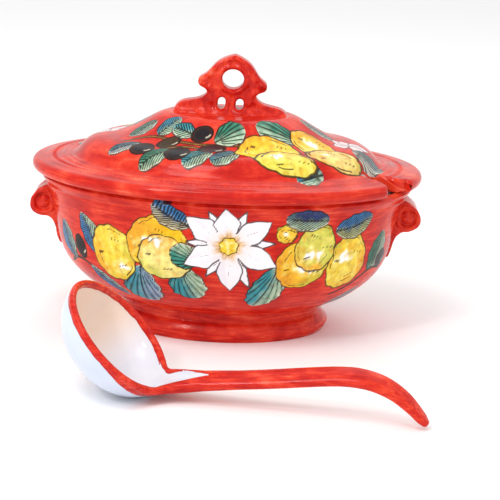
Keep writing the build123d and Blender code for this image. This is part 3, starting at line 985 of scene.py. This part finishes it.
def make_handle(node):
    """Scroll handle: a curl on each cheek and flutes that run down the tail, sunk into the bowl's wall."""
    def sink(p):
        inward = p[:, :2] / np.linalg.norm(p[:, :2], axis=1)[:, None]
        depth = np.where(bowl_gap(p) < 0.5, 3.5, 0)[:, None]
        return np.concatenate([p[:, :2] - inward * depth, p[:, 2:]], 1)

    piece = softened(node + "_glazed", node, 8, sink)
    p, n = positions(piece), vertex_values(piece, "normal")
    y, z, across, up = p[:, 1], p[:, 2], np.abs(p[:, 0]) - SCROLL[0], p[:, 2] - SCROLL[1]
    from_curl, turn = np.hypot(across, up), np.arctan2(up, across)
    half = np.interp(z, [55, 78, 94, 125], [10, 10, 17, 17])
    cheek = np.abs(n[:, 1]) ** 1.2 * smooth(z, 88, 94)
    swirl = 0.45 * np.cos(turn * 2 - from_curl * 0.9) * ridge(from_curl, 6, 4)
    tail = (1 - np.abs(n[:, 1]) ** 2) * smooth(z, 100, 90)
    push = cheek * (mouldings(from_curl, CURL_MOULDINGS) + swirl) + tail * 0.9 * np.cos(y / half * pi * 2.0)
    push += 0.30 * wander(p, 7.0)
    p += n * (push * smooth(bowl_gap(p), -0.5, 1.5))[:, None]
    reshape(piece, p)
    store(piece, "grain", np.stack([from_curl / 4.0, turn * 0.8, y / 10], -1))
    dress(piece, red_glaze, "tureen", "red_glaze", node)


# ---- ladle ----
LADLE_CENTRE, LADLE_BEARING, LADLE_TILT = (-75.4, -201.7), radians(-12.9), radians(46.4)
LADLE_RADIUS, LADLE_DEPTH, LADLE_WALL = 52.5, 39.0, 4.5
LADLE_HEIGHT = hypot(LADLE_RADIUS * sin(LADLE_TILT), LADLE_DEPTH * cos(LADLE_TILT)) + 0.05
ALONG = np.array([cos(LADLE_BEARING), sin(LADLE_BEARING), 0])
ACROSS = np.array([sin(LADLE_BEARING), -cos(LADLE_BEARING), 0])
UP = np.array([0, 0, 1.0])
CUP_CENTRE = np.array([*LADLE_CENTRE, LADLE_HEIGHT])
CUP_FACING = sin(LADLE_TILT) * ALONG + cos(LADLE_TILT) * UP         # the way the opening looks
CUP_SLOPE = cos(LADLE_TILT) * ALONG - sin(LADLE_TILT) * UP          # down the opening, towards the handle

# Along the handle: distance, height, roll in degrees, width, thickness and how far its edges cup upwards.
HANDLE_STATIONS = np.array([
    (20, 3.0, 0, 87, 4.5, 20.3), (24, 4.0, 0, 78, 5, 15.3), (28, 5.5, 1, 67, 6, 10.3),
    (32, 7.5, 2, 55, 7, 6.5), (36, 9.3, 4, 45.6, 8, 4.2), (40, 11.0, 6, 39, 9, 2.8),
    (46, 12.8, 9, 32.4, 10, 1.7), (56, 15.0, 13, 26, 10.5, 0.6), (67.5, 17.0, 17, 21.5, 9.7, 0),
    (98, 21.6, 20, 19.5, 8.5, 0), (133, 27.3, 22, 19.5, 8.5, 0), (163.5, 32.5, 22, 19.5, 8.5, 0),
    (187, 34.5, 22, 19.5, 8.5, 0), (209.5, 30.2, 20, 18.5, 8.5, 0), (227, 19.8, 16, 16, 8, 0),
    (239, 8.2, 10, 12, 7, 0), (243.5, 3.6, 8, 7, 4.5, 0),
])
# The channel from the cup on to the handle: distance, half-width, height of its floor, depth of its round.
CHANNEL = np.array([
    (16, 30, 9.0, 9), (25, 27.5, 9.0, 9), (28, 25, 9.2, 8.5), (32, 21.5, 9.8, 8), (39, 15.5, 11.6, 7),
    (46, 11.0, 13.8, 5.5), (56, 6.0, 17.2, 3.5), (64, 2.6, 20.0, 2.0), (70, 0.4, 22.2, 1.0),
])
LIP_RING, LIP_DROP, LIP_ROUND = LADLE_RADIUS - 2.0, 1.5, 2.9            # the cup's thick rounded lip
OUTER_CUP = (LADLE_RADIUS, LADLE_DEPTH)
INNER_CUP = (LADLE_RADIUS - LADLE_WALL, LADLE_DEPTH - LADLE_WALL)


def ladle_point(d, w, h):
    """World point from the distance along the handle, across it and above the table."""
    return np.array([*LADLE_CENTRE, 0]) + d * ALONG + w * ACROSS + h * UP


def ladle_frame(p):
    """Distance along the handle, across it and height above the table for world points."""
    q = p - np.array([*LADLE_CENTRE, 0])
    return q @ ALONG, q @ ACROSS, p[:, 2]


def cup_frame(p):
    """Coordinates in the opening: down its slope, across it and out of it."""
    q = p - CUP_CENTRE
    return q @ CUP_SLOPE, q @ ACROSS, q @ CUP_FACING


def cup_level(p, cup):
    """1 on a cup's half-ellipsoid, less inside it."""
    u, v, o = cup_frame(p)
    return np.sqrt((u**2 + v**2) / cup[0] ** 2 + (o / cup[1]) ** 2)


def cup_mesh(name, cup, rise=0.0):
    """Closed half-ellipsoid below the opening, carried up by rise as a straight collar."""
    radius, depth = cup
    rows = [(radius * sin(a), -depth * cos(a)) for a in np.radians(np.linspace(2, 90, 45))]
    if rise:
        rows.append((radius, rise))
    columns = 120
    vertices = [
        CUP_CENTRE + r * cos(a) * CUP_SLOPE + r * sin(a) * ACROSS + h * CUP_FACING
        for r, h in rows
        for a in np.linspace(0, 2 * pi, columns, endpoint=False)
    ]
    return new_object(name, vertices, grid_faces(len(rows), columns) + end_caps(len(rows), columns))


def strap_mesh():
    """Handle: rounded rectangles that follow the stations smoothly, cupped at its root."""
    track = spline(HANDLE_STATIONS[:, :2], 2.0)
    share = travelled(HANDLE_STATIONS[:, :2])
    here = np.linspace(0, share[-1], len(track))
    roll, width, thick, cradle = (np.interp(here, share, HANDLE_STATIONS[:, k]) for k in (2, 3, 4, 5))
    columns = 64
    around = np.linspace(0, 2 * pi, columns, endpoint=False)
    c, s = np.cos(around), np.sin(around)
    flat_c, flat_s = np.sign(c) * np.abs(c) ** 0.55, np.sign(s) * np.abs(s) ** 0.70
    heading = np.gradient(track, axis=0)
    heading /= np.linalg.norm(heading, axis=1)[:, None]
    vertices = []
    for (d, h), (run, rise), r, w, th, cup in zip(track, heading, np.radians(roll), width, thick, cradle):
        lift = run * UP - rise * ALONG
        tilted_side, tilted_lift = cos(r) * ACROSS - sin(r) * lift, sin(r) * ACROSS + cos(r) * lift
        section = np.outer(w / 2 * flat_c, tilted_side) + np.outer(th / 2 * flat_s, tilted_lift)
        vertices.extend(ladle_point(d, 0, h) + section + np.outer(cup * flat_c**2, UP))
    rows = len(track)
    return new_object("strap", vertices, grid_faces(rows, columns) + end_caps(rows, columns))


def lip_mesh():
    """Rounded bead along the cup's rim."""
    vertices, rows, columns = [], 120, 16
    for a in np.linspace(0, 2 * pi, rows, endpoint=False):
        out = cos(a) * CUP_SLOPE + sin(a) * ACROSS
        for b in np.linspace(0, 2 * pi, columns, endpoint=False):
            beyond, above = LIP_RING + LIP_ROUND * cos(b), LIP_ROUND * sin(b) - LIP_DROP
            vertices.append(CUP_CENTRE + beyond * out + above * CUP_FACING)
    return new_object("lip", vertices, grid_faces(rows, columns, close_rows=True))


def channel_at(d):
    """Half-width, floor height and depth of the channel's round at a distance along the handle."""
    return [np.interp(d, CHANNEL[:, 0], CHANNEL[:, k]) for k in (1, 2, 3)]


def channel_mesh():
    """Cutter for the channel: U-shaped sections, open upwards, that narrow to a point on the handle."""
    vertices, rows, columns, above = [], 28, 25, 70
    a = np.linspace(0, pi, columns - 2)
    for d in np.linspace(CHANNEL[0, 0], CHANNEL[-1, 0], rows):
        half, floor_height, depth = channel_at(d)
        w = half * np.concatenate([[1.15], np.cos(a), [-1.15]])
        h = np.concatenate([[above], floor_height + depth * (1 - np.sin(a)), [above]])
        vertices.extend(ladle_point(d, w[:, None], h[:, None]))
    return new_object("channel", vertices, grid_faces(rows, columns) + end_caps(rows, columns))


def channel_distance(p):
    """Signed distance in mm outside the channel's wall, roughly."""
    d, w, h = ladle_frame(p)
    half, floor_height, depth = channel_at(d)
    level = np.hypot(w / half, np.maximum(floor_height + depth - h, 0) / depth)
    reach = np.where(h > floor_height + depth, half, np.minimum(half, depth * 1.3))
    return (level - 1) * reach


def joined_mesh(name, *objects):
    """One object from several closed meshes that overlap."""
    work = bmesh.new()
    for piece in objects:
        work.from_mesh(piece.data)
        bpy.data.objects.remove(piece)
    mesh = bpy.data.meshes.new(name)
    work.to_mesh(mesh)
    work.free()
    return add_object(name, mesh)


def make_ladle():
    piece = joined_mesh("ladle_glazed", cup_mesh("outer", OUTER_CUP), lip_mesh(), strap_mesh())
    even_mesh(piece, 0.9, 3)
    cut(piece, cup_mesh("inner", INNER_CUP, 30.0))
    cut(piece, channel_mesh())
    even_mesh(piece, 0.75, 6)
    finish_normals(piece, 180)
    p = positions(piece)
    d, w, h = ladle_frame(p)
    # smooth cup walls: the remeshed surface is drawn back to the two ellipsoids
    for cup in (OUTER_CUP, INNER_CUP):
        level = cup_level(p, cup)
        near = smooth(np.abs(level - 1) * cup[1], 1.4, 0.5) * smooth(cup_frame(p)[2], -2.0, -5.0)
        near *= smooth(channel_distance(p), 1.0, 3.0)
        p = CUP_CENTRE + (p - CUP_CENTRE) * (1 + near * (1 / level - 1))[:, None]
    p[:, 2] = np.maximum(p[:, 2], 0.05)
    reshape(piece, p)
    # the red band is the lip, a collar below it, the strap without its channel, and the top of the far arm
    u, v, o = cup_frame(p)
    in_cup = cup_level(p, INNER_CUP) < 1.045
    along_channel, to_channel = (d > 14) & (d < 72), channel_distance(p)
    lip = LIP_ROUND + 0.5 - np.hypot(np.hypot(u, v) - LIP_RING, o + LIP_DROP)
    collar = np.where(in_cup, -FAR, o + 4.6 + 5.0 * smooth(u, 5, 45))
    strap = (cup_level(p, OUTER_CUP) - 1.012) * 45
    channel = np.where(along_channel, to_channel - 0.5, FAR)
    edge_height = HANDLE_STATIONS[:, 1] + HANDLE_STATIONS[:, 5] + HANDLE_STATIONS[:, 4] / 2
    arm_depth = 3.6 * smooth(d, 52, 32)
    on_arm = (w < 0) & (d > 20) & (arm_depth > 0.3)
    far_arm = np.where(on_arm, h - np.interp(d, HANDLE_STATIONS[:, 0], edge_height) + arm_depth, -FAR)
    red = np.maximum(np.maximum(lip, collar), strap)
    store(piece, "band", np.maximum(np.minimum(red, channel), far_arm))
    inside = in_cup | ((to_channel < 1) & along_channel & (h > 8))
    # warm is 0 outside the cup, where the shader paints shade into the white
    store(piece, "warm", inside * (0.4 + 0.6 * smooth(u, 35, -35)))
    store(piece, "grain", np.stack([d / 26, w / 3.0, h / 3.0], -1))
    dress(piece, ladle_glaze, "ladle", "red_glaze", "ladle_bowl", "ladle_handle")


make_bowl()
make_foot()
make_lid()
make_locating_rim()
make_knob()
make_handle("right_handle")
make_handle("left_handle")
make_ladle()

# ---- studio: pale floor, white surroundings, soft lights and the camera ----
FLOOR_HALF = 8.0 / MM                               # 8 metres
corners = [(x * FLOOR_HALF, y * FLOOR_HALF, 0) for x, y in ((-1, -1), (1, -1), (1, 1), (-1, 1))]
floor = new_object("floor", corners, [(0, 1, 2, 3)])
MATT_WHITE = {"Base Color": (0.97, 0.97, 0.97, 1), "Roughness": 0.8, "Specular IOR Level": 0.1}
floor.data.materials.append(new_material("floor_white", MATT_WHITE)[0])

world = bpy.data.worlds.new("studio")
bpy.context.scene.world = world
world.use_nodes = True
background = world.node_tree.nodes["Background"]
background.inputs["Color"].default_value = (1.0, 1.0, 1.0, 1)
background.inputs["Strength"].default_value = 0.92


def soft_light(name, place, size, power):
    """Square softbox that looks at the tureen; place and size in metres, power in watts."""
    data = bpy.data.lights.new(name, "AREA")
    data.shape, data.size, data.energy = "SQUARE", size, power
    light = add_object(name, data)
    light.location = place
    aim = Vector((0, 0, 0.09)) - Vector(place)
    light.rotation_euler = aim.to_track_quat("-Z", "Y").to_euler()


soft_light("key", (-0.45, -0.75, 1.5), 0.6, 7.8)
soft_light("glint", (-0.75, -1.1, 1.1), 0.2, 4.5)
soft_light("back", (0.4, 1.2, 1.7), 1.2, 5)

# The camera looks at a point from a bearing and height; target and distance are in metres.
VIEW_AZIMUTH, VIEW_ELEVATION, VIEW_ROLL = radians(-0.3), radians(14.8), radians(2.7)
VIEW_TARGET, VIEW_DISTANCE = Vector((0.0232, 0, 0.0664)), 1.50
level_reach = cos(VIEW_ELEVATION)
view_back = Vector((sin(VIEW_AZIMUTH) * level_reach, -cos(VIEW_AZIMUTH) * level_reach, sin(VIEW_ELEVATION)))
level_right = (-view_back).cross(Vector((0, 0, 1))).normalized()
level_up = level_right.cross(-view_back)
view_right = level_right * cos(VIEW_ROLL) + level_up * sin(VIEW_ROLL)
view_up = level_up * cos(VIEW_ROLL) - level_right * sin(VIEW_ROLL)
view_turn = Matrix((view_right, view_up, view_back)).transposed().to_4x4()
lens = bpy.data.cameras.new("camera")
lens.lens, lens.sensor_width, lens.clip_end = 121.0, 36.0, 50
camera = add_object("camera", lens)
camera.matrix_world = Matrix.Translation(VIEW_TARGET + view_back * VIEW_DISTANCE) @ view_turn
bpy.context.scene.camera = camera
bpy.context.scene.view_settings.view_transform = "Standard"
